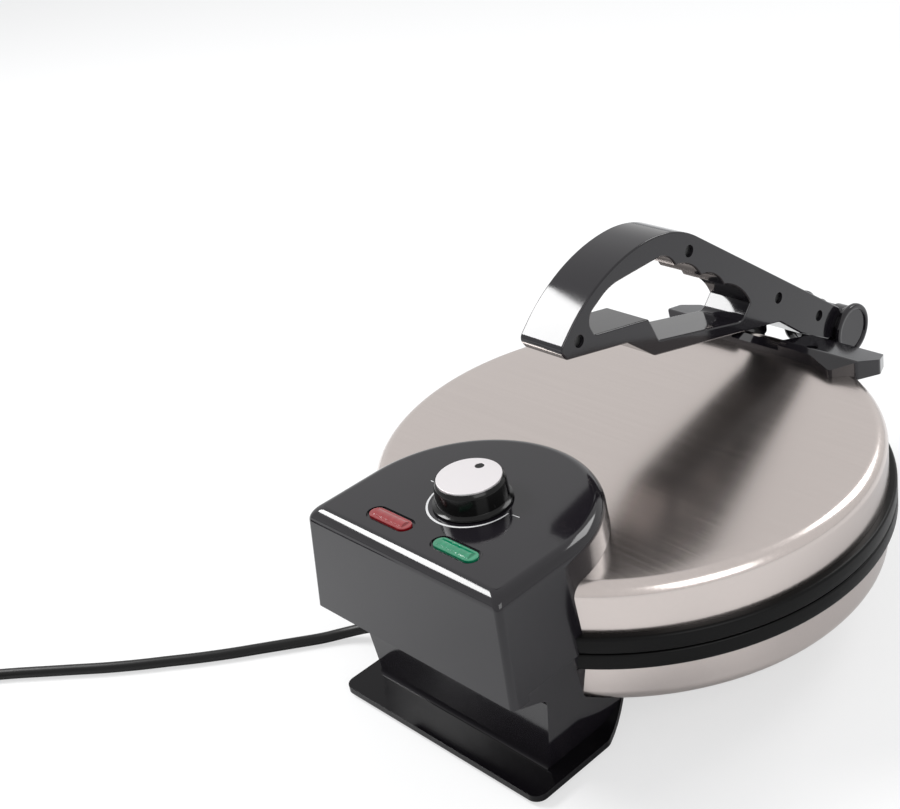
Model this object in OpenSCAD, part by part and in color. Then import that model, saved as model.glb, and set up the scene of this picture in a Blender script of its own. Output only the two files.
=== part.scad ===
// Electric roti maker: two heated plates in a round lid and base, with a control
// housing on the lid, a pressing lever at the back and a mains cord.
// The user stands at -Y, the hinge is at +Y, the table is at z = 0.

/* [Lid and base] */
// Radius of the lid's steel side
lid_r = 132; // [124:0.5:140]
// Height of the lid's flat top above the table
lid_top = 97; // [93:0.5:101]
// Radius of the lid's rolled top edge
lid_edge_r = 7; // [3:0.5:9]
// Rise of the lid's top towards its middle
lid_crown = 1.5; // [0.5:0.5:3]
// How far the base's side lies inside the lid's side
base_inset = 1; // [-3:0.5:9]
// Height of the base's underside above the table
base_bottom = 30; // [27:0.5:33]
// Radius of the base's rolled bottom edge
base_edge_r = 8; // [4:0.5:10]
// Thickness of the steel sheet
sheet = 1.2; // [0.8:0.1:2]
// How far the black bands stand out from the lid's side
band_out = 4; // [3:0.5:5]
// Height at which lid and base part
split_z = 63; // [61:0.5:65]
// Height of the lid's band
lid_band_h = 9; // [7:0.5:11]
// Height of the base's band
base_band_h = 9; // [7:0.5:11]
// Gap between the two bands
split_gap = 0.6; // [0.5:0.1:1]

/* [Plates] */
// How far the plates' rim lies inside the base's side
plate_inset = 4; // [4:0.5:13]
// Thickness of the plates at their rim
plate_t = 3.6; // [3:0.2:4]
// Thickness of the plates over the heater
plate_hub_t = 7; // [6:0.5:8]
// Gap between the two plates when the lid is shut
plate_gap = 1.2; // [1:0.2:2]
// Radius of the heating tube
heater_tube_r = 4; // [3:0.25:4.5]
// Distance of the heating tube's ring from the plates' rim
heater_inset = 45; // [37:1:57]
// Distance of the heat shields from the plates' rim
shield_inset = 15; // [11:1:27]

/* [Control housing] */
// Width of the housing at its top
housing_w = 132; // [120:1:136]
// How much wider the housing is on each side at its seam
housing_flare = 3.5; // [1:0.5:5]
// How far the housing's front top edge stands out from the lid's side
housing_out = 24; // [20:1:28]
// Distance from the lid's side in to the centre of the round back
housing_arc_in = 19; // [16:1:24]
// Height of the housing's top above the lid's top
housing_rise = 18.5; // [15:0.5:23]
// Radius of the housing's top edge
housing_edge_r = 4.5; // [1:0.5:5]
// Wall thickness of the plastic
wall = 2.5; // [2:0.25:3]
// Distance from the housing's front top edge to the knob's axis
knob_back = 49.5; // [47:0.5:52]
// Radius of the knob's flange
knob_flange_r = 19.5; // [18:0.5:22]
// Radius of the knob's grip
knob_r = 17; // [15:0.5:18]
// Height of the knob above the housing
knob_h = 14; // [11:0.5:17]
// Radius of the thermostat's shaft
shaft_r = 3; // [2.5:0.25:3.5]
// Length of a lamp's lens
lens_l = 27; // [22:0.5:30]
// Width of a lamp's lens
lens_w = 8; // [6:0.5:9]
// Distance of the lamps' centres from the middle
lens_x = 22.5; // [20:0.5:26]
// Distance from the housing's front top edge to the row of lamps
lens_back = 17; // [14:0.5:20]

/* [Legs] */
// Half width of the front leg where it meets the foot
leg_foot_half = 53; // [45:1:58]
// Half width of the foot plate
foot_half = 70; // [60:1:74]
// How far the foot plate's front edge lies behind the housing's
foot_set_back = 0.5; // [-2:0.5:6]
// Thickness of the foot plate
foot_t = 3.5; // [2.5:0.5:5]
// Height of the rubber feet
pad_h = 2; // [1.5:0.5:3]
// Outer radius of the bend at the foot plate's back
foot_bend_r = 28; // [24:1:28]
// Half width of the rear leg at the table
rear_half = 57; // [50:1:62]
// Half width of the rear leg at its top
rear_top_half = 40; // [34:1:46]

/* [Hinge and lever] */
// Distance of the lid's hinge pin behind the lid's side
hinge_out = 11; // [11:0.5:14]
// Depth of the hinge pin below the split between lid and base
hinge_drop = 8; // [7:0.5:9]
// Radius of the lid's hinge pin
hinge_pin_r = 3; // [2.5:0.25:3.5]
// Distance of the lever's axle behind the hinge pin
axle_back = 34.5; // [33:0.5:37]
// Height of the lever's axle above the hinge pin
axle_rise = 29; // [28:0.5:31]
// Radius of the lever's axle
axle_r = 4; // [3:0.25:5]
// Width of the lever
lever_w = 28; // [24:1:32]
// Width of the pressing link
link_w = 12; // [9:0.5:13]
// Radius of the round end caps on the lever's axle
cap_r = 15.5; // [14.5:0.5:16]
// Thickness of an end cap
cap_t = 5.5; // [4:0.5:8]
// Running clearance of pins and shafts, on the radius
run = 0.08; // [0.05:0.01:0.1]

/* [Cord] */
// Diameter of the mains cord
cord_d = 6; // [5.5:0.25:6]
// Number of turns in the stored coil
coil_turns = 4; // [3:1:5]

/* [Hidden] */
$fn = 96;

near = 0.3;      // gap between pieces of different bodies
seat = 0.05;     // gap between pieces fitted to each other
far = 400;       // reach of a cutter beyond the object
base_r = lid_r - base_inset;
plate_r = base_r - plate_inset;
plate_nest = 0.4; // gap between a plate's rim and its band
heater_ring_r = plate_r - heater_inset;
shield_r = plate_r - shield_inset;
housing_front = lid_r + housing_out;
housing_arc_y = lid_r - housing_arc_in;
housing_top = lid_top + housing_rise;
knob_y = housing_front - knob_back;
lens_y = housing_front - lens_back;
foot_front = housing_front - foot_set_back;
hinge_y = lid_r + hinge_out;
hinge_z = split_z - hinge_drop;
axle_y = hinge_y + axle_back;
axle_z = hinge_z + axle_rise;
band_r = lid_r + band_out;
lid_band_top = split_z + lid_band_h;
base_band_bottom = split_z - base_band_h;
lid_low = split_z + split_gap / 2;
base_high = split_z - split_gap / 2;
lower_face = split_z - plate_gap / 2;
upper_face = split_z + plate_gap / 2;
shield_drop = 19;
shield_t = 0.8;
stud_r = 6;

// The origin lies below the middle of the object without its cord
origin_y = (axle_y + cap_r - housing_front - housing_flare) / 2;
module placed() {
    translate([0, -origin_y, 0])
        children();
}

// Points on an arc about (cy, cz), from angle a to angle b
function arc(cy, cz, r, a, b, n = 8) =
    [for (i = [0:n]) [cy + r * cos(a + (b - a) * i / n), cz + r * sin(a + (b - a) * i / n)]];

// An outline whose corners [y, z, r] are rounded to radius r
function unit(v) = v / norm(v);
function turn(a) = a > 180 ? a - 360 : a < -180 ? a + 360 : a;
function heading(v) = atan2(v[1], v[0]);
function corner(a, b, c, r) =
    let (
        u = unit(a - b),
        v = unit(c - b),
        half = acos(u * v) / 2,
        centre = b + unit(u + v) * r / sin(half),
        start = heading(b + u * r / tan(half) - centre),
        sweep = turn(heading(b + v * r / tan(half) - centre) - start),
        n = ceil(abs(sweep) / 11)
    )
    [for (i = [0:n]) centre + r * [cos(start + sweep * i / n), sin(start + sweep * i / n)]];
function flat2(p) = [p[0], p[1]];
function rounded(p) =
    [for (i = [0:len(p) - 1])
        each (p[i][2] > 0
            ? corner(flat2(p[(i + len(p) - 1) % len(p)]), flat2(p[i]), flat2(p[(i + 1) % len(p)]), p[i][2])
            : [flat2(p[i])])];

// Points from a to b that bulge out by d on the left of the way from a to b
function bulge(a, b, d, n = 6) =
    let (
        h = norm(b - a) / 2,
        r = (h * h + d * d) / (2 * d),
        u = unit(b - a),
        side = [-u[1], u[0]],
        centre = (a + b) / 2 + side * (d - r),
        half = asin(h / r)
    )
    [for (i = [0:n - 1])
        let (t = -half + 2 * half * i / n) concat(centre + r * (side * cos(t) + u * sin(t)), [0])];

// A (y, z) outline made solid from x = a to x = b
module along_x(a, b) {
    translate([a, 0, 0])
        rotate([90, 0, 90])
            linear_extrude(b - a)
                children();
}

// An (x, z) outline made solid from y = a to y = b
module along_y(a, b) {
    translate([0, b, 0])
        rotate([90, 0, 0])
            linear_extrude(b - a)
                children();
}

// The outside of the steel base and its band, grown by e
module base_envelope(e) {
    rotate_extrude()
        polygon(concat(
            [[0, base_bottom - e]],
            arc(base_r - base_edge_r, base_bottom + base_edge_r, base_edge_r + e, -90, 0, 6),
            [[base_r + e, base_band_bottom - e], [band_r + e, base_band_bottom - e],
                [band_r + e, split_z + 1], [0, split_z + 1]]));
}

// The outside of the steel lid and its band, grown by e
module lid_envelope(e) {
    rotate_extrude()
        polygon(concat(
            [[0, split_z - 1], [band_r + e, split_z - 1], [band_r + e, lid_band_top + e],
                [lid_r + e, lid_band_top + e]],
            arc(lid_r - lid_edge_r, lid_top - lid_edge_r, lid_edge_r + e, 0, 90, 6),
            [for (i = [1:6]) [(lid_r - lid_edge_r) * (1 - i / 6), lid_top + e + crown_at(i / 6)]]));
}

// Rise of the lid's top at a share t of the way from its edge to its middle
function crown_at(t) = lid_crown * (1 - (1 - t) * (1 - t));

// Where the legs' inner edges lie under the pan
leg_back = foot_front - 51;
rear_front = base_r - 27;
pan_screw_front = [leg_foot_half - 3, -leg_back - 4];
pan_screw_rear = [rear_half - 32, rear_front + 10];
pan_screw_spots = [pan_screw_front, [-pan_screw_front[0], pan_screw_front[1]],
    pan_screw_rear, [-pan_screw_rear[0], pan_screw_rear[1]]];

// Base: steel pan, band, plate, heater and heat shield
module base_pan() {
    inner = base_edge_r - sheet;
    color("silver")
        difference() {
            rotate_extrude()
                polygon(concat(
                    [[0, base_bottom]],
                    arc(base_r - base_edge_r, base_bottom + base_edge_r, base_edge_r, -90, 0, 6),
                    [[base_r, base_band_bottom + 3], [base_r - sheet, base_band_bottom + 3]],
                    arc(base_r - base_edge_r, base_bottom + base_edge_r, inner, 0, -90, 6),
                    [[0, base_bottom + sheet]]));
            pan_screw(seat, 0);
        }
}

// Screws through the pan's floor into the legs, grown by e
module pan_screw(e, head_h) {
    for (p = pan_screw_spots)
        translate([p[0], p[1], base_bottom + sheet]) {
            translate([0, 0, -14])
                cylinder(h = 14, r = 1.5 + e, $fn = 32);
            if (head_h > 0)
                cylinder(h = head_h, r = 3, $fn = 32);
        }
}

module pan_screws() {
    color("gray")
        pan_screw(0, 1.8);
}

module base_band() {
    shelf = lower_face - plate_t;
    color("black")
        rotate_extrude()
            polygon([[base_r + seat, base_band_bottom], [band_r - 1, base_band_bottom],
                [band_r, base_band_bottom + 1], [band_r, base_high - 1], [band_r - 1, base_high],
                [plate_r + plate_nest, base_high], [plate_r + plate_nest, shelf], [plate_r - 5, shelf],
                [plate_r - 5, shelf - 1.5], [base_r + seat, shelf - 1.5]]);
}

// A cast plate whose cooking face is at z = 0 and whose back is at -z
module plate() {
    step = plate_hub_t - plate_t;
    difference() {
        rotate_extrude()
            polygon([[0, 0], [plate_r - 3, 0], [plate_r - 2, -0.8], [plate_r, -0.8],
                [plate_r, -plate_t], [shield_r - 4, -plate_t], [shield_r - 4 - step, -plate_hub_t],
                [stud_r, -plate_hub_t], [stud_r, -shield_drop], [0, -shield_drop]]);
        translate([0, 0, -plate_hub_t])
            rotate_extrude()
                translate([heater_ring_r, 0])
                    circle(heater_tube_r + 0.2, $fn = 32);
        translate([0, 0, -shield_drop - 1])
            cylinder(h = 9, r = 2 + seat, $fn = 32);
    }
}

// A heating tube bent to an open ring, with two terminals
module heater() {
    gap = 20;
    translate([0, 0, -plate_hub_t]) {
        rotate([0, 0, gap / 2 - 90])
            rotate_extrude(angle = 360 - gap)
                translate([heater_ring_r, 0])
                    circle(heater_tube_r, $fn = 32);
        for (a = [gap / 2, -gap / 2])
            rotate([0, 0, a - 90])
                translate([heater_ring_r, 0, -8])
                    cylinder(h = 8, r = heater_tube_r - 1, $fn = 32);
    }
}

// A dished sheet behind the heater, pulled up to the plate's stud
module shield() {
    difference() {
        translate([0, 0, -shield_drop])
            rotate_extrude()
                polygon([[2.5, 0], [shield_r - 5, 0], [shield_r - 0.6, 4.4], [shield_r, 3.8],
                    [shield_r - 4.6, -shield_t], [2.5, -shield_t]]);
        for (a = [10, -10])
            rotate([0, 0, a - 90])
                translate([heater_ring_r, 0, -shield_drop - 2])
                    cylinder(h = 4, r = 5, $fn = 32);
    }
}

// The nut and its bolt that hold the heat shield on the stud
module shield_nut() {
    translate([0, 0, -shield_drop - shield_t - 3])
        cylinder(h = 3, r = 5, $fn = 6);
    translate([0, 0, -shield_drop - shield_t])
        cylinder(h = 8, r = 2, $fn = 32);
}

module lower() {
    translate([0, 0, lower_face])
        children();
}

module upper() {
    translate([0, 0, upper_face])
        rotate([180, 0, 180])
            children();
}

module lower_plate() {
    color("dimgray")
        lower()
            plate();
}

module lower_heater() {
    color("gray")
        lower()
            heater();
}

module lower_shield() {
    color("lightgray")
        lower()
            shield();
}

module lower_nut() {
    color("gray")
        lower()
            shield_nut();
}

module upper_plate() {
    color("dimgray")
        upper()
            plate();
}

module upper_heater() {
    color("gray")
        upper()
            heater();
}

module upper_shield() {
    color("lightgray")
        upper()
            shield();
}

module upper_nut() {
    color("gray")
        upper()
            shield_nut();
}

// Front leg: a chin under the housing, a web and a boot that follows the foot plate
leg_top = base_high;
web_y = foot_front - 17;
bend_z = pad_h + foot_bend_r;
bend_y = -leg_back + foot_bend_r;
foot_back_half = leg_foot_half + 4;
leg_seam_half = housing_w / 2 + housing_flare;
pocket_top = base_bottom - 3;
leg_screw_x = leg_foot_half - 3;
leg_screw_y = leg_back + 4.5;

function leg_half(z) =
    leg_foot_half + (leg_seam_half - leg_foot_half) * (z - pad_h - foot_t) / (leg_top - pad_h - foot_t);

module leg_profile() {
    foot_z = pad_h + foot_t;
    polygon(concat(
        rounded([[-foot_front - 3, leg_top, 0], [-foot_front - 2.5, leg_top - 14, 12],
            [-web_y, leg_top - 14, 4], [-web_y + 1.5, foot_z + 3, 0], [-web_y, foot_z, 0]]),
        arc(-leg_back, bend_z, foot_bend_r - foot_t, -90, -2, 8),
        [[0, base_bottom + 12], [0, leg_top]]));
}

module front_leg() {
    foot_z = pad_h + foot_t;
    color([0.08, 0.08, 0.09])
        difference() {
            intersection() {
                along_x(-far, far)
                    leg_profile();
                along_y(-far, 0)
                    polygon([[-leg_foot_half, foot_z], [leg_foot_half, foot_z],
                        [leg_seam_half, leg_top], [-leg_seam_half, leg_top]]);
            }
            base_envelope(seat);
            // pocket for the terminal block and the cord
            translate([-leg_foot_half + 6, -web_y + 5, foot_z - 1])
                cube([2 * leg_foot_half - 12, 30, pocket_top - foot_z + 1]);
            relief_hole();
            for (x = [-leg_screw_x, leg_screw_x])
                translate([x, -leg_screw_y, foot_z - 1])
                    cylinder(h = 12, r = 1.5 + seat, $fn = 32);
            pan_screw(seat, 0);
        }
}

module foot_plate() {
    color([0.06, 0.06, 0.07])
        difference() {
            intersection() {
                along_x(-foot_half, foot_half)
                    polygon(concat(
                        [[-foot_front, pad_h + foot_t], [-foot_front, pad_h]],
                        arc(-leg_back, bend_z, foot_bend_r, -90, -2, 8),
                        arc(-leg_back, bend_z, foot_bend_r - foot_t, -2, -90, 8)));
                linear_extrude(60)
                    polygon(rounded([[-foot_half, -foot_front, 6], [foot_half, -foot_front, 6],
                        [foot_half, -leg_back - 2, 8], [foot_back_half, bend_y, 0],
                        [-foot_back_half, bend_y, 0], [-foot_half, -leg_back - 2, 8]]));
            }
            base_envelope(seat);
            for (x = [-leg_screw_x, leg_screw_x])
                translate([x, -leg_screw_y, 0]) {
                    cylinder(h = 10, r = 1.5 + seat, $fn = 32);
                    cylinder(h = pad_h + 1.6, r = 3.2, $fn = 32);
                }
        }
}

module front_feet() {
    color([0.05, 0.05, 0.05])
        for (x = [-1, 1])
            for (y = [-foot_front + 7, -leg_back - 5])
                translate([x * (foot_half - 7), y, 0])
                    cylinder(h = pad_h, r = 5, $fn = 48);
}

// Rear leg: a wedge with a rounded back, whose lugs hold the hinge pin
lug_r = hinge_pin_r + 3.4;
lug_in = link_w / 2 + near;
lug_out = lug_in + 7;
rear_round_low = rear_half + 29;
rear_round_high = rear_top_half + 27;
rear_round_y = base_r - 59;
rear_top = hinge_z - 8.5;

module rear_leg() {
    color([0.07, 0.07, 0.08])
        difference() {
            union() {
                intersection() {
                    translate([0, rear_round_y, pad_h])
                        cylinder(h = rear_top - pad_h, r1 = rear_round_low, r2 = rear_round_high);
                    along_y(rear_round_y + 8, far)
                        polygon([[-rear_half, pad_h], [rear_half, pad_h],
                            [rear_top_half, rear_top], [-rear_top_half, rear_top]]);
                    along_x(-far, far)
                        polygon([[rear_front, pad_h], [far, pad_h], [far, rear_top],
                            [rear_front - 8, rear_top], [rear_front - 8, pad_h + 20]]);
                }
                for (s = [-1, 1])
                    along_x(min(s * lug_in, s * lug_out), max(s * lug_in, s * lug_out))
                        union() {
                            translate([hinge_y, hinge_z])
                                circle(lug_r, $fn = 64);
                            translate([hinge_y - lug_r, hinge_z - 12])
                                square([2 * lug_r, 12]);
                        }
            }
            base_envelope(seat);
            link_channel();
            along_x(-far, far)
                translate([hinge_y, hinge_z])
                    circle(hinge_pin_r + seat, $fn = 64);
            pan_screw(seat, 0);
        }
}

// Room for the link to swing down behind the rear leg
module link_channel() {
    along_x(-lug_in, lug_in)
        union() {
            translate([hinge_y, hinge_z])
                circle(lug_r + 1.2, $fn = 64);
            translate([hinge_y, hinge_z - lug_r - 1.2])
                square([20, 20]);
        }
}

module rear_feet() {
    color([0.05, 0.05, 0.05])
        for (x = [-1, 1])
            for (y = [rear_front + 8, rear_front + 30])
                translate([x * (rear_half - 12), y, 0])
                    cylinder(h = pad_h, r = 5, $fn = 48);
}

// Screws that hold the foot plate
module leg_screws() {
    color("gray")
        for (x = [-leg_screw_x, leg_screw_x])
            translate([x, -leg_screw_y, 0]) {
                translate([0, 0, pad_h + 0.2])
                    cylinder(h = 1.4, r = 3, $fn = 32);
                translate([0, 0, pad_h + 1.6])
                    cylinder(h = 10, r = 1.5, $fn = 32);
            }
}

module hinge_pin() {
    color("silver")
        along_x(-bracket_out, bracket_out)
            translate([hinge_y, hinge_z])
                circle(hinge_pin_r, $fn = 64);
}

// Inside the front leg
module terminal_block() {
    z0 = pad_h + foot_t;
    color("ivory")
        difference() {
            translate([-18, -web_y + 8, z0])
                cube([36, 14, 12]);
            for (x = [-12, 0, 12])
                translate([x, -web_y + 15, z0 + 5])
                    cylinder(h = 8, r = 2.2, $fn = 32);
        }
}

module thermal_fuse() {
    color("wheat")
        translate([0, -web_y + 28, pad_h + foot_t + 3])
            rotate([0, 90, 0])
                cylinder(h = 28, r = 3, center = true, $fn = 32);
}

// Cord exit on the front leg's left side
exit_y = -leg_back - 13;
exit_z = pad_h + foot_t + 5.5;
relief_tip = -leg_foot_half - 25;
relief_r = 4.6;

module relief_hole() {
    translate([relief_tip + 12, exit_y, exit_z])
        rotate([0, 90, 0])
            cylinder(h = 30, r = relief_r - 1 + seat, $fn = 48);
}

module strain_relief() {
    side = -leg_half(exit_z) - 1.6;
    neck = -leg_foot_half + 6;
    color([0.05, 0.05, 0.05])
        translate([0, exit_y, exit_z])
            rotate([0, -90, 0])
                rotate_extrude($fn = 48)
                    polygon([[0, -neck - 3], [relief_r, -neck - 3], [relief_r, -neck - 0.1],
                        [relief_r - 1, -neck - 0.1], [relief_r - 1, -side], [relief_r + 0.4, -side],
                        [relief_r + 0.4, -side + 1.5], [cord_d / 2 + 0.4, -relief_tip], [0, -relief_tip]]);
}

// The cord's free stretch, from the strain relief to the coil
cord_z = cord_d / 2;
route = [[relief_tip, exit_y, exit_z], [-86, -116.5, 10], [-95, -119.5, 7.2], [-104, -126, 4.5],
    [-113, -136, cord_z], [-123, -148, cord_z], [-134, -161, cord_z], [-145, -174, cord_z],
    [-157, -187, cord_z], [-169, -199, cord_z], [-181, -211, cord_z], [-194, -223, cord_z],
    [-207, -234, cord_z], [-220, -245, cord_z], [-233, -256, cord_z], [-245, -267, cord_z],
    [-256, -279, cord_z], [-266, -291, cord_z], [-275, -303, cord_z]];

// Direction of a path at its point i
function way(p, i) =
    unit(p[min(i + 1, len(p) - 1)] - p[max(i - 1, 0)]);

// A tube of radius r with n sides along the path p
module tube(p, r, n) {
    count = len(p);
    rings = [for (i = [0:count - 1])
        let (
            t = i == 0 ? start_way(p) : way(p, i),
            side = unit(cross(t, [0, 0, 1])),
            up = cross(side, t)
        )
        for (k = [0:n - 1]) p[i] + r * (side * sin(360 * k / n) - up * cos(360 * k / n))];
    walls = [for (i = [0:count - 2])
        for (k = [0:n - 1])
            let (
                a = i * n + k,
                b = i * n + (k + 1) % n
            )
            each [[a, b, b + n], [a, b + n, a + n]]];
    start_cap = [for (k = [1:n - 2]) [0, k + 1, k]];
    end_cap = [for (k = [1:n - 2]) [(count - 1) * n, (count - 1) * n + k, (count - 1) * n + k + 1]];
    polyhedron(points = rings, faces = concat(walls, start_cap, end_cap), convexity = 8);
}

function start_way(p) = unit(p[1] - p[0]);

module power_cord() {
    color([0.05, 0.05, 0.05])
        tube(concat([route[0], route[0] + [-4, 0, 0]], [for (i = [1:len(route) - 1]) route[i]]),
            cord_d / 2, 10);
}

// The stored coil: two layers that spiral in, climb and spiral out again
coil_step = cord_d + 0.6;
coil_mean_r = 5.5 * cord_d;
coil_inner_r = coil_mean_r - coil_step * coil_turns / 4;
coil_last = 360 * coil_turns;
coil_mid = coil_last / 2;
coil_tail = 30;
arrive = unit(route[len(route) - 1] - route[len(route) - 2]);
coil_start = heading(arrive) - 90;
coil_outer_r = coil_radius(0);
cord_end = route[len(route) - 1];
coil_begin = cord_end + arrive * cord_d;
coil_axis = coil_begin - coil_outer_r * [cos(coil_start), sin(coil_start), 0];

function coil_radius(a) = coil_inner_r + coil_step * abs(a - coil_mid) / 360;
function coil_climb(a) =
    let (t = min(1, max(0, (a - coil_mid + 90) / 180))) coil_step * (1 - cos(180 * t)) / 2;
function coil_point(a) =
    coil_axis + [coil_radius(a) * cos(coil_start + a), coil_radius(a) * sin(coil_start + a), coil_climb(a)];
coil_leave = [-sin(coil_start + coil_last), cos(coil_start + coil_last), 0];
coil_path = concat([cord_end], [for (a = [0:15:coil_last]) coil_point(a)],
    [coil_point(coil_last) + coil_leave * coil_tail]);

// Least distance between points of the coil that are more than a third of a turn apart
coil_points = len(coil_path);
coil_gap = min([for (i = [0:coil_points - 1])
    for (j = [i + 8:1:coil_points - 1]) norm(coil_path[i] - coil_path[j])]) - cord_d;
echo(least_gap_between_turns = coil_gap);

module cord_coil() {
    color([0.05, 0.05, 0.05])
        tube(coil_path, cord_d / 2, 6);
}

// Mains plug, lying beside the coil
plug_l = 36;
plug_h = 2 * (cord_z + coil_step);
plug_at = coil_path[coil_points - 1];
plug_turn = heading(coil_leave);

module at_plug() {
    translate(plug_at)
        rotate([0, 0, plug_turn])
            children();
}

module plug_body() {
    color([0.06, 0.06, 0.06])
        at_plug()
            intersection() {
                rotate([0, 90, 0])
                    rotate_extrude($fn = 48)
                        polygon([[0, 0], [cord_d / 2 + 1, 0], [cord_d / 2 + 2, 12], [13, 20],
                            [13, plug_l - 1], [12, plug_l], [0, plug_l]]);
                translate([0, -20, -plug_h / 2])
                    cube([plug_l, 40, plug_h]);
            }
}

module plug_pins() {
    color("silver")
        at_plug()
            for (y = [-7, 7])
                translate([plug_l, y, 0])
                    rotate([0, 90, 0])
                        cylinder(h = 18, r = 2.4, $fn = 32);
}

// Lid: steel shell and band
module lid_shell() {
    inner = lid_edge_r - sheet;
    rim = lid_band_top - 3;
    flat_r = lid_r - lid_edge_r;
    edge_z = lid_top - lid_edge_r;
    color("silver")
        difference() {
            rotate_extrude()
                polygon(concat(
                    [[lid_r - sheet, rim], [lid_r, rim]],
                    arc(flat_r, edge_z, lid_edge_r, 0, 90, 6),
                    [for (i = [1:6]) [flat_r * (1 - i / 6), lid_top + crown_at(i / 6)]],
                    [for (i = [6:-1:1]) [flat_r * (1 - i / 6), lid_top - sheet + crown_at(i / 6)]],
                    arc(flat_r, edge_z, inner, 90, 0, 6)));
            bracket_screw(seat, 1);
        }
}

module lid_band() {
    shelf = upper_face + plate_t;
    color("black")
        rotate_extrude()
            polygon([[lid_r + seat, lid_band_top], [band_r - 1, lid_band_top], [band_r, lid_band_top - 1],
                [band_r, lid_low + 1], [band_r - 1, lid_low], [plate_r + plate_nest, lid_low],
                [plate_r + plate_nest, shelf], [plate_r - 5, shelf], [plate_r - 5, shelf + 1.5],
                [lid_r + seat, shelf + 1.5]]);
}

// Control housing: a block in front of the lid that ends in a round back over it
housing_low = split_z;
housing_half = housing_w / 2;
housing_lean = housing_flare / (housing_top - housing_low);

module housing_block(inset, low) {
    top = housing_top - inset;
    edge = max(0.5, housing_edge_r - inset);
    h = top - low;
    half_top = housing_half - inset;
    half_low = half_top + housing_lean * h;
    front_top = housing_front - inset;
    front_low = front_top + housing_lean * h;
    intersection() {
        along_y(-far, -housing_arc_y)
            polygon(rounded([[-half_low, low, 0], [half_low, low, 0], [half_top, top, edge],
                [-half_top, top, edge]]));
        along_x(-far, far)
            polygon(rounded([[-front_low, low, 0], [0, low, 0], [0, top, 0], [-front_top, top, edge]]));
    }
    translate([0, -housing_arc_y, 0])
        rotate_extrude(angle = 180)
            polygon(rounded([[0, low, 0], [half_low, low, 0], [half_top, top, edge], [0, top, 0]]));
}

module control_housing() {
    recess = 1;
    color([0.08, 0.08, 0.09])
        difference() {
            intersection() {
                housing_block(0, housing_low);
                translate([-far, -far, housing_low])
                    cube([2 * far, far, far]);
            }
            lid_envelope(seat);
            difference() {
                housing_block(wall, housing_low - 1);
                lid_envelope(seat + wall);
            }
            translate([0, -knob_y, housing_top - wall - 1])
                cylinder(h = wall + 2, r = shaft_r + 1.5);
            for (s = [-1, 1])
                translate([s * lens_x, -lens_y, 0]) {
                    translate([0, 0, housing_top - recess])
                        linear_extrude(recess + 1)
                            pill(lens_l + 3, lens_w + 3);
                    translate([0, 0, housing_top - wall - 1])
                        linear_extrude(wall + 2)
                            pill(lens_l + 2 * seat, lens_w + 2 * seat);
                }
        }
}

// A slot outline with half-round ends
module pill(l, w) {
    hull() {
        for (s = [-1, 1])
            translate([s * (l - w) / 2, 0])
                circle(w / 2, $fn = 32);
    }
}

// The plate that closes the housing from below, in front of the lid
module housing_cover() {
    color([0.06, 0.06, 0.07])
        difference() {
            intersection() {
                housing_block(wall + seat, housing_low - 1);
                translate([-far, -far, housing_low])
                    cube([2 * far, far, wall]);
            }
            lid_envelope(seat + wall);
        }
}

// Thermostat: a round body on a bushing, under the housing's top
thermostat_r = 13;
thermostat_top = housing_top - wall;

module thermostat() {
    low = lid_top + lid_crown + wall + seat;
    color("tan")
        translate([0, -knob_y, 0])
            difference() {
                union() {
                    translate([0, 0, low + 0.5])
                        cylinder(h = thermostat_top - low - 3.5, r = thermostat_r);
                    translate([0, 0, thermostat_top - 4])
                        cylinder(h = 4, r = 7);
                }
                translate([0, 0, low - 1])
                    cylinder(h = thermostat_top - low + 2, r = shaft_r + run);
            }
}

module lens() {
    foot = housing_top - wall - 0.6;
    linear_extrude(housing_top + 0.8 - foot)
        pill(lens_l, lens_w);
}

module lens_at(s) {
    translate([s * lens_x, -lens_y, housing_top - wall - 0.6])
        lens();
}

module red_lens() {
    color("red")
        lens_at(-1);
}

module green_lens() {
    color("green")
        lens_at(1);
}

module neon_lamps() {
    color("orange")
        for (s = [-1, 1])
            translate([s * lens_x - 8, -lens_y, housing_top - wall - 0.6 - 3.2])
                rotate([0, 90, 0])
                    cylinder(h = 16, r = 3, $fn = 32);
}

// Lid bracket: two sloping wings over the lid's back edge, and a strap that
// runs down to the hinge
bracket_out = 38;
wing_t = 7;
wing_front = lid_r - 30;
wing_fold = lid_r - 18;
wing_back = lid_r + 10;
wing_front_top = lid_top + 4;
wing_fold_top = lid_top + 8;
wing_back_top = lid_top - 1;
wing_inner_half = 38;
wing_front_half = 54;
wing_back_half = 69;
bar_front = lid_r - 22;
bar_top = lid_top + 3.5;
channel = lever_w / 2 + 2;
strap_in = band_r + near;
strap_t = 5;
bracket_lug_in = lug_out + near;
saddle_front = lid_r - 18;
saddle_half = 46;

module wing_profile() {
    polygon(rounded([[wing_front, wing_fold_top - wing_t - 2, 0], [wing_front, wing_front_top, 1],
        [wing_fold, wing_fold_top, 3], [wing_back, wing_back_top, 2],
        [wing_back, wing_back_top - wing_t, 2]]));
}

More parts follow.
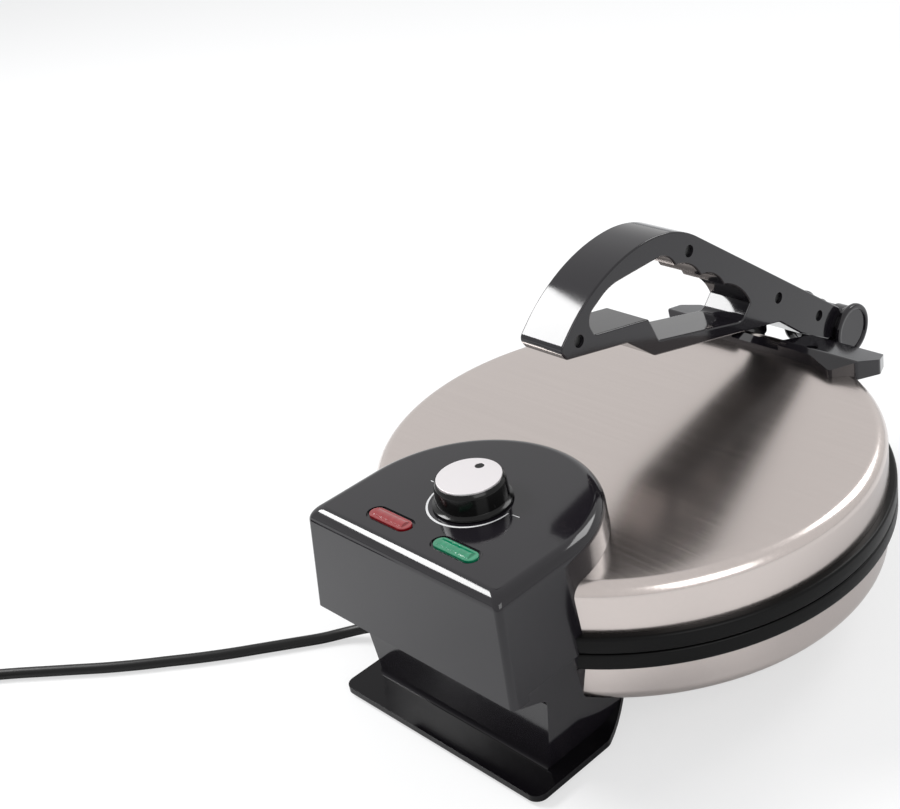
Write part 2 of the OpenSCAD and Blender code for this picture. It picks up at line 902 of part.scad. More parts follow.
module lid_bracket() {
    color([0.09, 0.09, 0.1])
        difference() {
            union() {
                // wings
                intersection() {
                    along_x(-far, far)
                        wing_profile();
                    linear_extrude(far)
                        for (s = [0, 1])
                            mirror([s, 0])
                                polygon(rounded([[channel, bar_front, 0], [wing_inner_half, bar_front - 0.5, 3],
                                    [wing_front_half, wing_front + 1, 3], [wing_back_half - 4, wing_front + 11, 5],
                                    [wing_back_half, wing_back - 13, 4], [wing_back_half - 6, wing_back, 4],
                                    [channel, wing_back, 0]]));
                }
                // saddle between wings and lid
                intersection() {
                    along_x(-far, far)
                        polygon([[saddle_front, lid_top - 9], [saddle_front, wing_fold_top - 5],
                            [wing_back - 2, wing_back_top - 3], [wing_back - 2, lid_top - 17],
                            [lid_r - 2, lid_top - 17]]);
                    linear_extrude(far)
                        for (s = [0, 1])
                            mirror([s, 0])
                                polygon([[channel, saddle_front], [saddle_half, saddle_front],
                                    [saddle_half, wing_back - 2], [channel, wing_back - 2]]);
                }
                // bar across the lid under the lever
                translate([-channel - 1, bar_front, lid_top - 1])
                    cube([2 * channel + 2, 8, bar_top - lid_top + 1]);
                // strap down the lid's back, joining the wings below the lever
                intersection() {
                    rotate_extrude()
                        polygon([[strap_in - band_out, lid_band_top + near], [strap_in, lid_band_top + near],
                            [strap_in, lid_low + 0.5], [strap_in + strap_t, lid_low + 0.5],
                            [strap_in + strap_t, lid_top - 13], [strap_in - band_out, lid_top - 13]]);
                    translate([-bracket_out, 0, 0])
                        cube([2 * bracket_out, far, far]);
                }
                // lugs on the hinge pin
                for (s = [-1, 1])
                    along_x(s > 0 ? bracket_lug_in : -bracket_out, s > 0 ? bracket_out : -bracket_lug_in)
                        union() {
                            translate([hinge_y, hinge_z])
                                circle(lug_r, $fn = 64);
                            polygon([[hinge_y - 2, hinge_z], [hinge_y + lug_r, hinge_z],
                                [hinge_y + lug_r - 2, split_z + 13], [hinge_y - 6, split_z + 13]]);
                        }
            }
            lid_envelope(seat);
            along_x(-far, far)
                translate([hinge_y, hinge_z])
                    circle(hinge_pin_r + run, $fn = 64);
            // clearance over the base's band
            rotate_extrude()
                polygon([[0, base_band_bottom - 2], [band_r + near + 0.5, base_band_bottom - 2],
                    [band_r + near + 0.5, base_high + near], [0, base_high + near]]);
            bracket_screw(seat, 12);
        }
}

// A countersunk screw through each wing into the lid, grown by e
module bracket_screw(e, head_h) {
    for (s = [-1, 1])
        translate([s * (saddle_half - 12), saddle_front + 3, 0]) {
            translate([0, 0, lid_top + 2.6])
                cylinder(h = head_h, r = 3 + e, $fn = 32);
            translate([0, 0, lid_top - 6])
                cylinder(h = 8.6, r = 1.5 + e, $fn = 32);
        }
}

module bracket_screws() {
    color("gray")
        bracket_screw(0, 1.6);
}

// Knob
module knob_body() {
    low = housing_top + near;
    high = housing_top + knob_h - 1;
    color([0.07, 0.07, 0.08])
        translate([0, -knob_y, 0])
            difference() {
                rotate_extrude()
                    polygon([[0, low], [knob_flange_r, low], [knob_flange_r, low + 1.2],
                        [knob_r + 0.6, low + 2.2], [knob_r, high - 1], [knob_r - 0.6, high], [0, high]]);
                translate([0, 0, low - 1])
                    cylinder(h = knob_h - 4, r = shaft_r + seat, $fn = 48);
            }
}

module knob_cap() {
    high = housing_top + knob_h;
    color("silver")
        translate([0, -knob_y, 0])
            difference() {
                translate([0, 0, high - 1])
                    cylinder(h = 1, r = knob_r - 1.2);
                rotate([0, 0, 104])
                    translate([9.5, 0, high - 0.5])
                        cylinder(h = 1, r = 2.3, $fn = 32);
            }
}

module knob_shaft() {
    low = lid_top + lid_crown + wall + 1;
    color("silver")
        translate([0, -knob_y, low])
            cylinder(h = housing_top + knob_h - 6 - low, r = shaft_r, $fn = 48);
}

// Pressing link between the hinge pin and the lever's axle
link_eye_r = 12;

module press_link() {
    reach = [axle_y - hinge_y, axle_z - hinge_z];
    color([0.08, 0.08, 0.09])
        difference() {
            along_x(-link_w / 2, link_w / 2)
                union() {
                    translate([hinge_y, hinge_z])
                        circle(lug_r, $fn = 64);
                    translate([axle_y, axle_z])
                        circle(link_eye_r, $fn = 96);
                    translate([hinge_y, hinge_z])
                        rotate(heading(reach))
                            polygon([[0, -lug_r], [norm(reach), -link_eye_r + 1], [norm(reach), link_eye_r - 1],
                                [12, lug_r - 0.5], [0, lug_r]]);
                }
            along_x(-far, far)
                translate([hinge_y, hinge_z])
                    circle(hinge_pin_r + run, $fn = 64);
            along_x(-far, far)
                translate([axle_y, axle_z])
                    circle(axle_r + run, $fn = 64);
        }
}

// Lever: an arm, an arched grip with finger recesses and a stepped lower bar
slot_half = link_w / 2 + near;
slot_r = 28;
grip_cusps = [[-157.5, 107], [-142.5, 98], [-124, 85], [-106.5, 72.5], [-86, 53]];
head_x = lever_w / 2 - 4;
screw_spots = [[-215.5, 88.5], [-131.5, 101.5], [-61.5, 45.5], [-25.5, 19]];

// Outline of the lever and its finger loop, measured from its axle. Two arcs
// meet at the top of the grip, the closer one behind.
grip_y = -160.5;
grip_top = 119;
grip_back_r = 60;
grip_front_r = 91;
function grip_arc(r, a, b) =
    [for (p = arc(grip_y, grip_top - r, r, a, b, 6)) [p[0], p[1], 0]];
lever_corners = concat(
    [[-5.5, 15.5, 0]],
    grip_arc(grip_back_r, 52.3, 90),
    grip_arc(grip_front_r, 97, 134),
    [[-228.7, 88.6, 4], [-225, 82.5, 3], [-182.5, 72.5, 3], [-164, 57, 6], [-61.5, 30.8, 8],
        [-42.5, 15, 10], [-17.5, 0.5, 0], [0, 0, 0]]);
loop_corners = [[-93.5, 45.5, 6], [-160, 64, 3], [-166, 78.5, 3], [-204.5, 87, 3], [-209, 97, 7],
    [-191, 106.8, 28]];

module lever_outline() {
    difference() {
        union() {
            polygon(rounded(lever_corners));
            circle(13, $fn = 96);
        }
        polygon(rounded(concat(
            loop_corners,
            [for (i = [0:len(grip_cusps) - 2]) each bulge(grip_cusps[i], grip_cusps[i + 1], 3)],
            [concat(grip_cusps[len(grip_cusps) - 1], [0])])));
    }
}

module link_slot() {
    along_x(-slot_half, slot_half)
        translate([axle_y, axle_z])
            circle(slot_r, $fn = 96);
}

module lever_half(side) {
    difference() {
        along_x(side > 0 ? 0 : -lever_w / 2, side > 0 ? lever_w / 2 : 0)
            translate([axle_y, axle_z])
                lever_outline();
        link_slot();
        along_x(-far, far)
            translate([axle_y, axle_z])
                circle(axle_r + seat, $fn = 64);
        for (p = screw_spots) {
            along_x(-lever_w / 2 + 4, lever_w / 2 + 1)
                translate([axle_y, axle_z] + p)
                    circle(1.5 + seat, $fn = 32);
            along_x(head_x, lever_w / 2 + 1)
                translate([axle_y, axle_z] + p)
                    circle(3.2, $fn = 32);
        }
    }
}

module lever_left() {
    color([0.08, 0.08, 0.09])
        lever_half(-1);
}

module lever_right() {
    color([0.09, 0.09, 0.1])
        lever_half(1);
}

module lever_screws() {
    color("gray")
        for (p = screw_spots) {
            along_x(-lever_w / 2 + 4.5, head_x)
                translate([axle_y, axle_z] + p)
                    circle(1.5, $fn = 32);
            along_x(head_x, head_x + 2)
                translate([axle_y, axle_z] + p)
                    circle(3, $fn = 32);
        }
}

module lever_axle() {
    color("silver")
        along_x(-lever_w / 2 - 3, lever_w / 2 + 3)
            translate([axle_y, axle_z])
                circle(axle_r, $fn = 64);
}

module axle_caps() {
    inner = lever_w / 2 + 0.1;
    color([0.1, 0.1, 0.11])
        for (s = [0, 1])
            mirror([s, 0, 0])
                translate([0, axle_y, axle_z])
                    rotate([0, 90, 0])
                        rotate_extrude()
                            polygon([[axle_r + seat, inner], [cap_r - 2, inner], [cap_r - 2, inner + 1.6],
                                [cap_r, inner + 2.2], [cap_r, inner + cap_t - 1], [cap_r - 1, inner + cap_t],
                                [cap_r - 3.5, inner + cap_t], [cap_r - 4, inner + cap_t - 1.2],
                                [0, inner + cap_t - 1.2], [0, inner + 3.2], [axle_r + seat, inner + 3.2]]);
}

placed() base_pan();
placed() base_band();
placed() lower_plate();
placed() lower_heater();
placed() lower_shield();
placed() lower_nut();
placed() front_leg();
placed() foot_plate();
placed() front_feet();
placed() rear_leg();
placed() rear_feet();
placed() leg_screws();
placed() pan_screws();
placed() hinge_pin();
placed() terminal_block();
placed() thermal_fuse();
placed() strain_relief();
placed() power_cord();
placed() cord_coil();
placed() plug_body();
placed() plug_pins();
placed() lid_shell();
placed() lid_band();
placed() upper_plate();
placed() upper_heater();
placed() upper_shield();
placed() upper_nut();
placed() control_housing();
placed() housing_cover();
placed() thermostat();
placed() red_lens();
placed() green_lens();
placed() neon_lamps();
placed() lid_bracket();
placed() bracket_screws();
placed() knob_body();
placed() knob_cap();
placed() knob_shaft();
placed() press_link();
placed() lever_left();
placed() lever_right();
placed() lever_screws();
placed() lever_axle();
placed() axle_caps();
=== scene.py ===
"""Dresses the electric roti maker: steel shells, black mouldings, lamps, lever and cord."""

import math

import bmesh
import bpy
from bpy.props import FloatProperty, FloatVectorProperty, IntProperty, PointerProperty
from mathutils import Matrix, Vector


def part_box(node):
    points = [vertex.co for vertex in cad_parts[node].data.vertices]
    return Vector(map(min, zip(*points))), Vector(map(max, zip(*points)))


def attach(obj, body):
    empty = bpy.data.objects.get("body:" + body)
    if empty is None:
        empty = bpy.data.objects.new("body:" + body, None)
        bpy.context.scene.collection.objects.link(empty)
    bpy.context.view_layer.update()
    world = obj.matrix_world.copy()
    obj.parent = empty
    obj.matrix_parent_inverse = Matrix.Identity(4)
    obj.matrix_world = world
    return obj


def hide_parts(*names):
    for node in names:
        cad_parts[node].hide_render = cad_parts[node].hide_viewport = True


bl_info = {
    "name": "Roti Maker",
    "version": (1, 0, 0),
    "blender": (4, 5, 0),
    "location": "View3D > Sidebar > Roti Maker",
    "description": "Builds a flatbread press with a steel lid, a pressing lever and a cord",
    "category": "Add Mesh",
}

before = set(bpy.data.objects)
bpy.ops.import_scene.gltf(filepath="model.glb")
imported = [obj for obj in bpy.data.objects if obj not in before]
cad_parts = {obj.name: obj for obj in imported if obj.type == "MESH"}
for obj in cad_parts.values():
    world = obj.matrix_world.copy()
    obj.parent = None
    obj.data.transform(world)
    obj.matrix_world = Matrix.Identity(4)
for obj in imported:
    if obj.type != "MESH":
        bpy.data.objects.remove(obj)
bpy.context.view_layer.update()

# Sizes are in millimetres, with the lid's centre at y = 0, and become metres in the frame
MM = 0.001
LID_Y = (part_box("lid_band")[0][1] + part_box("lid_band")[1][1]) / 2 / MM
# The lever's axle and the strain relief's centre, in y and z
AXLE = (177.5, 84)
RELIEF = (-117.5, 11)
# The knob's axis, and the lamps' place either side of the middle
KNOB = (0, -106.5)
LAMP_X = 22.5
LAMP_Y = -139
HOUSING_TOP = 115.5
# Where cutters that reach down past the housing end
CUTTER_LOW = 40


# Sizes and colours
class FinishSettings(bpy.types.PropertyGroup):
    steel: FloatVectorProperty(
        name="Steel", description="Colour of the brushed lid and base", subtype="COLOR", size=3,
        min=0, max=1, default=(0.56, 0.505, 0.48))
    steel_roughness: FloatProperty(
        name="Steel roughness", description="Blur of the steel's reflections",
        min=0.05, max=1, default=0.21, subtype="FACTOR")
    plastic: FloatVectorProperty(
        name="Plastic", description="Colour of the glossy mouldings", subtype="COLOR", size=3,
        min=0, max=1, default=(0.0075, 0.0065, 0.0085))
    plastic_roughness: FloatProperty(
        name="Plastic roughness", description="Blur of the mouldings' reflections",
        min=0.02, max=1, default=0.07, subtype="FACTOR")
    red: FloatVectorProperty(
        name="Red lamp", description="Colour of the left lamp", subtype="COLOR", size=3,
        min=0, max=1, default=(0.20, 0.002, 0.005))
    green: FloatVectorProperty(
        name="Green lamp", description="Colour of the right lamp", subtype="COLOR", size=3,
        min=0, max=1, default=(0.0, 0.16, 0.075))


class EdgeSettings(bpy.types.PropertyGroup):
    housing: FloatProperty(
        name="Housing edge", description="Rounding of the housing's corners and top edge",
        subtype="DISTANCE", unit="LENGTH", min=0.0005, max=0.009, default=0.0065)
    legs: FloatProperty(
        name="Leg edge", description="Rounding of the legs' and foot plate's edges",
        subtype="DISTANCE", unit="LENGTH", min=0.0002, max=0.003, default=0.0012)
    lever: FloatProperty(
        name="Lever edge", description="Rounding of the lever's outer edges",
        subtype="DISTANCE", unit="LENGTH", min=0.0005, max=0.004, default=0.0028)
    turned_steps: IntProperty(
        name="Turned steps", description="Steps round a turned piece",
        min=32, max=256, default=160)


# Shader maths
class Wire:
    """A socket whose sums, products and powers add Math nodes to its recipe."""

    def __init__(self, recipe, socket):
        self.recipe = recipe
        self.socket = socket

    def math(self, operation, *values):
        """A Math node's output."""
        return self.recipe.node(
            "ShaderNodeMath", {"operation": operation}, dict(enumerate(values)))

    def __add__(self, other):
        return self.math("ADD", self, other)

    __radd__ = __add__

    def __mul__(self, other):
        return self.math("MULTIPLY", self, other)

    __rmul__ = __mul__

    def __pow__(self, other):
        return self.math("POWER", self, other)


class Recipe:
    """A material being written, from its coordinates to its shader."""

    def __init__(self, name):
        self.material = bpy.data.materials.new(name)
        self.material.use_nodes = True
        self.tree = self.material.node_tree
        self.shader = self.tree.nodes["Principled BSDF"]
        self.place = self.node("ShaderNodeTexCoord", {}, {}, "Object")

    def node(self, kind, settings, values, output=0):
        """Adds a node with its settings and inputs, and gives one of its outputs."""
        made = self.tree.nodes.new(kind)
        for key, value in settings.items():
            setattr(made, key, value)
        for key, value in values.items():
            self.set(made.inputs[key], value)
        return Wire(self, made.outputs[output])

    def set(self, socket, value):
        """Links a wire to a socket, or sets the value it holds."""
        if isinstance(value, Wire):
            self.tree.links.new(value.socket, socket)
        elif socket.type == "RGBA" and len(value) == 3:
            socket.default_value = (*value, 1)
        else:
            socket.default_value = value

    def finish(self, **values):
        """Sets the shader's own sockets and gives the material."""
        for key, value in values.items():
            self.set(self.shader.inputs[key.replace("_", " ")], value)
        return self.material

    def stretched(self, scale):
        """The coordinates, scaled."""
        return self.node("ShaderNodeMapping", {}, {"Vector": self.place, "Scale": scale})

    def noise(self, vector, scale, detail=3):
        """A value that varies from place to place."""
        return self.node(
            "ShaderNodeTexNoise", {}, {"Vector": vector, "Scale": scale, "Detail": detail}, "Fac")

    def mix(self, factor, a, b):
        """A colour between two others."""
        made = self.tree.nodes.new("ShaderNodeMix")
        made.data_type = "RGBA"
        self.set(made.inputs[0], factor)
        self.set(made.inputs[6], a)
        self.set(made.inputs[7], b)
        return Wire(self, made.outputs[2])

    def bump(self, height, strength, distance):
        """A normal that follows a height."""
        return self.node("ShaderNodeBump", {}, {
            "Height": height, "Strength": strength, "Distance": distance}, "Normal")


def brushed_steel(name, colour, roughness):
    """Fine straight brush lines along X, with a slow change in shine."""
    r = Recipe(name)
    lines = r.noise(r.stretched((6, 900, 900)), 1, 2)
    cloud = r.noise(r.place, 14, 2)
    dark = tuple(0.93 * c for c in colour)
    return r.finish(
        Base_Color=r.mix(lines, dark, colour), Metallic=1.0,
        Roughness=roughness - 0.05 + 0.08 * lines + 0.03 * cloud,
        Normal=r.bump(lines, 0.06, 0.0004))


def gloss_plastic(name, colour, roughness, ior=1.46):
    """Polished moulded plastic with a hint of waviness and fine dust."""
    r = Recipe(name)
    wave = r.noise(r.place, 22, 2)
    dust = r.noise(r.place, 900, 2)
    light = tuple(c * 1.25 + 0.0005 for c in colour)
    return r.finish(
        Base_Color=r.mix(wave, colour, light), Roughness=roughness + 0.03 * dust + 0.02 * wave,
        IOR=ior, Normal=r.bump(wave, 0.04, 0.002))


def satin_black(name, level, roughness, grain, strength, ior=1.5):
    """A moulding or coating with a fine even grain."""
    r = Recipe(name)
    fine = r.noise(r.place, grain, 3)
    slow = r.noise(r.place, 30, 2)
    return r.finish(
        Base_Color=r.mix(slow, (level, level, level), (level * 1.4, level * 1.4, level * 1.4)),
        Roughness=roughness + 0.12 * fine, IOR=ior, Normal=r.bump(fine, strength, 0.0003))


def plain_metal(name, colour, roughness, grain=400):
    """Plated or bare metal with a fine grain."""
    r = Recipe(name)
    fine = r.noise(r.place, grain, 2)
    return r.finish(
        Base_Color=r.mix(fine, tuple(0.88 * c for c in colour), colour), Metallic=1.0,
        Roughness=roughness + 0.14 * fine, Normal=r.bump(fine, 0.05, 0.0002))


def spun_metal(name, colour, centre):
    """Faint rings turned round the knob's own axis."""
    r = Recipe(name)
    near = r.node("ShaderNodeMapping", {}, {
        "Vector": r.place, "Location": (-centre[0], -centre[1], 0)})
    flat = r.node("ShaderNodeVectorMath", {"operation": "MULTIPLY"}, {0: near, 1: (1, 1, 0)})
    reach = r.node("ShaderNodeVectorMath", {"operation": "LENGTH"}, {0: flat}, "Value")
    spread = r.node("ShaderNodeCombineXYZ", {}, {0: reach * 9000})
    rings = r.noise(spread, 1, 1)
    return r.finish(
        Base_Color=r.mix(rings, tuple(0.9 * c for c in colour), colour), Metallic=0.85,
        Roughness=0.34 + 0.1 * rings, Normal=r.bump(rings, 0.08, 0.0002))


def lamp_glass(name, colour):
    """Glossy tinted plastic, moulded with fine ribs across its length, the ribs' peaks painted
    paler as a painted highlight.
    """
    r = Recipe(name)
    across = r.stretched((1, 0.3, 0.3))
    ribs = r.noise(across, 420, 1)
    # Painted highlight: a paler tint laid on the ribs' peaks, standing in for glints on their
    # facets
    painted_rib_glint = tuple(min(1, c * 1.7 + 0.02) for c in colour)
    return r.finish(
        Base_Color=r.mix(ribs ** 3, colour, painted_rib_glint), Roughness=0.08 + 0.06 * ribs,
        Coat_Weight=0.6, IOR=1.49, Normal=r.bump(ribs, 0.35, 0.0005))


def pale_plastic(name, colour):
    """An inner part's dull coloured plastic or ceramic."""
    r = Recipe(name)
    fine = r.noise(r.place, 300, 2)
    return r.finish(
        Base_Color=r.mix(fine, tuple(0.85 * c for c in colour), colour),
        Roughness=0.45 + 0.1 * fine, Normal=r.bump(fine, 0.08, 0.0003))


def print_white(name):
    """The dial's white print, a little worn."""
    r = Recipe(name)
    wear = r.noise(r.place, 700, 3)
    return r.finish(
        Base_Color=r.mix(wear, (0.55, 0.55, 0.55), (0.8, 0.8, 0.8)), Roughness=0.4 + 0.2 * wear)


materials = {}


def mix_materials(look):
    """Every finish of the object, by its name."""
    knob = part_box("knob_cap")
    centre = ((knob[0][0] + knob[1][0]) / 2, (knob[0][1] + knob[1][1]) / 2)
    # Painted shade: the foot plate gets a darker copy of the mouldings' plastic, with weaker
    # reflections, for the dark it shows under the housing
    shaded_foot_colour = tuple(0.4 * c for c in look.plastic)
    materials.update(
        steel=brushed_steel("steel", look.steel, look.steel_roughness),
        plastic=gloss_plastic("plastic", look.plastic, look.plastic_roughness),
        foot=gloss_plastic("foot", shaded_foot_colour, look.plastic_roughness, 1.24),
        band=satin_black("band", 0.003, 0.26, 700, 0.1, 1.2),
        knob=satin_black("knob", 0.002, 0.1, 900, 0.04, 1.32),
        silver=spun_metal("silver", (0.78, 0.75, 0.76), centre),
        coating=satin_black("coating", 0.018, 0.36, 1400, 0.3),
        sheath=plain_metal("sheath", (0.22, 0.21, 0.20), 0.42),
        zinc=plain_metal("zinc", (0.5, 0.5, 0.49), 0.3),
        dark_zinc=plain_metal("dark_zinc", (0.07, 0.07, 0.07), 0.35),
        sheet=plain_metal("sheet", (0.7, 0.69, 0.67), 0.32, 120),
        rubber=satin_black("rubber", 0.014, 0.5, 1200, 0.25),
        cord=satin_black("cord", 0.003, 0.32, 500, 0.1, 1.3),
        nickel=plain_metal("nickel", (0.72, 0.68, 0.58), 0.2),
        ivory=pale_plastic("ivory", (0.72, 0.68, 0.55)),
        tan=pale_plastic("tan", (0.45, 0.33, 0.2)),
        lamp=pale_plastic("lamp", (0.8, 0.45, 0.25)),
        print=print_white("print"),
        red=lamp_glass("red", look.red),
        green=lamp_glass("green", look.green))


# Modelling by hand
def deselect():
    """Leaves edit mode, with nothing selected."""
    if bpy.context.object and bpy.context.object.mode != "OBJECT":
        bpy.ops.object.mode_set(mode="OBJECT")
    bpy.ops.object.select_all(action="DESELECT")


def take(piece):
    """Leaves this piece alone selected and active."""
    deselect()
    piece.select_set(True)
    bpy.context.view_layer.objects.active = piece
    return piece


def edit(piece, mode="EDGE"):
    """Enters edit mode on one piece."""
    take(piece)
    bpy.ops.object.mode_set(mode="EDIT")
    bpy.ops.mesh.select_mode(type=mode)


def done(piece, angle=35):
    """Leaves edit mode, puts the piece's place in its mesh and smooths it."""
    take(piece)
    bpy.ops.object.transform_apply(location=True, rotation=True, scale=True)
    bpy.ops.object.shade_smooth_by_angle(angle=math.radians(angle))
    return piece


def chain(name, points):
    """Edges along points, drawn by extruding one corner from each to the next."""
    deselect()
    bpy.ops.mesh.primitive_plane_add(size=0.001, location=points[0])
    piece = bpy.context.object
    piece.name = name
    edit(piece, "VERT")
    bpy.ops.mesh.select_all(action="SELECT")
    bpy.ops.mesh.merge(type="CENTER")
    for a, b in zip(points, points[1:]):
        bpy.ops.mesh.extrude_vertices_move(
            TRANSFORM_OT_translate={"value": Vector(b) - Vector(a)})
    return piece


def close_chain(piece):
    """Joins the chain's two open ends."""
    mesh = bmesh.from_edit_mesh(piece.data)
    for v in mesh.verts:
        v.select = len(v.link_edges) == 1
    mesh.select_flush(True)
    bmesh.update_edit_mesh(piece.data)
    bpy.ops.mesh.edge_face_add()


def weld():
    """Merges the points in edit mode that lie on one another."""
    bpy.ops.mesh.select_all(action="SELECT")
    bpy.ops.mesh.remove_doubles(threshold=0.002 * MM)


def spun(piece, steps, centre, axis):
    """Turns the profile in edit mode once round an axis."""
    bpy.ops.mesh.select_all(action="SELECT")
    bpy.ops.mesh.spin(steps=steps, angle=2 * math.pi, center=centre, axis=axis)
    weld()
    bpy.ops.mesh.normals_make_consistent(inside=False)
    bpy.ops.object.mode_set(mode="OBJECT")
    return done(piece)


def turned(name, profile, centre=(0, 0), closed=True, steps=None):
    """A profile of (radius, height), spun round an upright axis."""
    x, y = centre[0] * MM, (centre[1] + LID_Y) * MM
    piece = chain(name, [(x + r * MM, y, z * MM) for r, z in profile])
    if closed:
        close_chain(piece)
    steps = steps or bpy.context.scene.roti_edges.turned_steps
    return spun(piece, steps, (x, y, 0), (0, 0, 1))


def turned_along_x(name, profile, centre, steps=96):
    """A profile of (x, radius), spun round a level axis through (y, z)."""
    y, z = (centre[0] + LID_Y) * MM, centre[1] * MM
    piece = chain(name, [(a * MM, y, z + r * MM) for a, r in profile])
    return spun(piece, steps, (0, y, z), (1, 0, 0))


def extruded(name, points, step):
    """A flat outline, filled and drawn out by a step."""
    piece = chain(name, points)
    close_chain(piece)
    bpy.ops.mesh.select_all(action="SELECT")
    bpy.ops.mesh.edge_face_add()
    bpy.ops.mesh.extrude_region_move(TRANSFORM_OT_translate={"value": step})
    bpy.ops.mesh.select_all(action="SELECT")
    bpy.ops.mesh.normals_make_consistent(inside=False)
    bpy.ops.object.mode_set(mode="OBJECT")
    take(piece)
    bpy.ops.object.transform_apply(location=True, rotation=True, scale=True)
    return piece


def slab(name, outline, low, high):
    """A (y, z) outline, extruded from x = low to x = high."""
    points = [(low * MM, (y + LID_Y) * MM, z * MM) for y, z in outline]
    return extruded(name, points, ((high - low) * MM, 0, 0))


def plate(name, outline, low, high):
    """An (x, y) outline, extruded from z = low to z = high."""
    points = [(x * MM, (y + LID_Y) * MM, low * MM) for x, y in outline]
    return extruded(name, points, (0, 0, (high - low) * MM))


def oblong(half, front, back):
    """An (x, y) outline that reaches half to each side."""
    return [(-half, front), (half, front), (half, back), (-half, back)]


def drill(name, centre, radius, low, high, steps=48):
    """A cutter along X through (y, z)."""
    deselect()
    bpy.ops.mesh.primitive_cylinder_add(
        vertices=steps, radius=radius * MM, depth=(high - low) * MM,
        location=((low + high) / 2 * MM, (centre[0] + LID_Y) * MM, centre[1] * MM),
        rotation=(0, math.pi / 2, 0))
    cutter = bpy.context.object
    cutter.name = name
    bpy.ops.object.transform_apply(location=True, rotation=True, scale=True)
    return cutter


def cut(piece, cutters):
    """Takes each cutter's shape out of the piece, and the cutter away."""
    for cutter in cutters:
        take(piece)
        modifier = piece.modifiers.new("cut", "BOOLEAN")
        modifier.operation = "DIFFERENCE"
        modifier.solver = "EXACT"
        modifier.object = cutter
        bpy.ops.object.modifier_apply(modifier=modifier.name)
        bpy.data.objects.remove(cutter)


def refined(name, node):
    """A copy of a CAD node's mesh as a new piece, its flat faces made whole."""
    piece = bpy.data.objects.new(name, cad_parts[node].data.copy())
    bpy.context.scene.collection.objects.link(piece)
    piece.data.materials.clear()
    edit(piece, "VERT")
    bpy.ops.mesh.customdata_custom_splitnormals_clear()
    weld()
    bpy.ops.mesh.dissolve_limited(angle_limit=math.radians(0.3))
    bpy.ops.object.mode_set(mode="OBJECT")
    return piece


def round_edges(piece, width, segments, wanted, least=30):
    """Bevels the piece's sharp edges whose middle passes the test."""
    edit(piece)
    mesh = bmesh.from_edit_mesh(piece.data)
    for e in mesh.edges:
        middle = (e.verts[0].co + e.verts[1].co) / 2 / MM
        middle.y -= LID_Y
        e.select = (
            len(e.link_faces) == 2 and e.calc_face_angle(0) > math.radians(least)
            and wanted(middle, e))
    mesh.select_flush_mode()
    bmesh.update_edit_mesh(piece.data)
    bpy.ops.mesh.bevel(
        offset=width, segments=segments, profile=0.5, affect="EDGES", clamp_overlap=True,
        loop_slide=False)
    bpy.ops.object.mode_set(mode="OBJECT")


def flatten_normals(piece):
    """Weighted normals, so that flat faces beside rounded edges shade flat."""
    take(piece)
    modifier = piece.modifiers.new("weights", "WEIGHTED_NORMAL")
    modifier.keep_sharp = True
    bpy.ops.object.modifier_apply(modifier=modifier.name)
    return piece


def dress(piece, body, finish, slot, *nodes):
    """Gives a piece its finish, and rides it on its body in place of its nodes."""
    piece.data.materials.clear()
    piece.data.materials.append(materials[finish])
    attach(piece, body)
    if nodes:
        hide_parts(*nodes)
    return piece


def refine(name, node, width, segments, wanted, body, finish, slot, least=30):
    """A CAD node's mesh with some of its edges rounded, dressed in the node's place."""
    piece = refined(name, node)
    round_edges(piece, width, segments, wanted, least)
    return dress(flatten_normals(done(piece)), body, finish, slot, node)


def paint(node, finish):
    """Gives a CAD node that stays its finish."""
    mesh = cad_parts[node].data
    mesh.materials.clear()
    mesh.materials.append(materials[finish])


def arc(cy, cz, r, a, b, n=12):
    """Points on a circle from angle a to angle b, in degrees."""
    return [
        (cy + r * math.cos(math.radians(a + (b - a) * i / n)),
         cz + r * math.sin(math.radians(a + (b - a) * i / n))) for i in range(n + 1)]


def rounded(corners, step=5):
    """An outline whose corners (y, z, r) are rounded to radius r."""
    out = []
    for i, (y, z, r) in enumerate(corners):
        b = Vector((y, z))
        if r <= 0:
            out.append((y, z))
            continue
        u = (Vector(corners[i - 1][:2]) - b).normalized()
        v = (Vector(corners[(i + 1) % len(corners)][:2]) - b).normalized()
        half = u.angle(v) / 2
        centre = b + (u + v).normalized() * r / math.sin(half)
        first = b + u * r / math.tan(half) - centre
        last = b + v * r / math.tan(half) - centre
        start = math.atan2(first.y, first.x)
        sweep = (math.atan2(last.y, last.x) - start + math.pi) % (2 * math.pi) - math.pi
        n = max(1, math.ceil(abs(math.degrees(sweep)) / step))
        out += [
            (centre.x + r * math.cos(start + sweep * k / n),
             centre.y + r * math.sin(start + sweep * k / n)) for k in range(n + 1)]
    return out


def bulge(a, b, d, n=10):
    """Points from a to b that bulge out by d on the left of the way."""
    a, b = Vector(a), Vector(b)
    h = (b - a).length / 2
    r = (h * h + d * d) / (2 * d)
    u = (b - a).normalized()
    side = Vector((-u.y, u.x))
    centre = (a + b) / 2 + side * (d - r)
    half = math.asin(h / r)
    points = [centre + r * (side * math.cos(t) + u * math.sin(t))
              for t in (-half + 2 * half * i / n for i in range(n))]
    return [(p.x, p.y, 0) for p in points]


